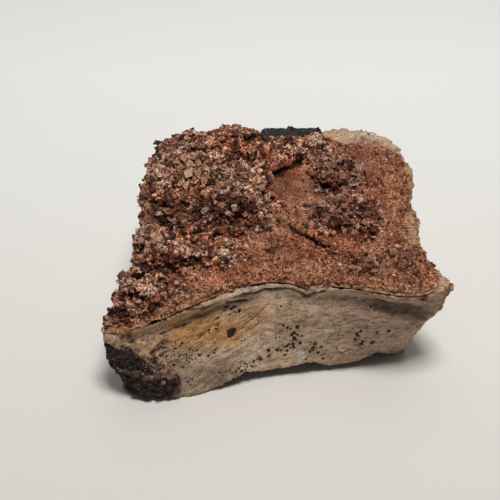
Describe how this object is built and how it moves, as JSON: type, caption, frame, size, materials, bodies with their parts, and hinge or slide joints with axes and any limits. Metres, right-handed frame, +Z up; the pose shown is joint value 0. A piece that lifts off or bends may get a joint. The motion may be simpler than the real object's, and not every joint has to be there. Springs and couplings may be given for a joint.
{
  "type": "vanadinite on matrix",
  "caption": "Broken slab of limestone matrix, crusted on its upper face with small brown-red vanadinite crystals, with dark oxide at two edges.",
  "frame": {"origin": "on the flat base, below the middle of the rock", "axes": "+X along the slab to its pointed end, -Y out of the smooth broken front face, +Z up out of the crusted face"},
  "size_m": [0.0975, 0.0815, 0.0486],
  "materials": {
    "matrix_rock": "dull broken limestone, grey-brown with ochre stains",
    "vanadinite_crust": "brown-red crystals with a resinous shine in an orange-brown crust",
    "dark_oxide": "brown-black granular oxide, slightly shiny",
    "dark_oxide_back_edge": "greenish-black granular oxide, dull"
  },
  "bodies": {
    "root": {"matrix_rock": "matrix_rock", "vanadinite_crust": "vanadinite_crust", "dark_oxide_corner": "dark_oxide", "dark_oxide_back_edge": "dark_oxide_back_edge"}
  },
  "joints": []
}
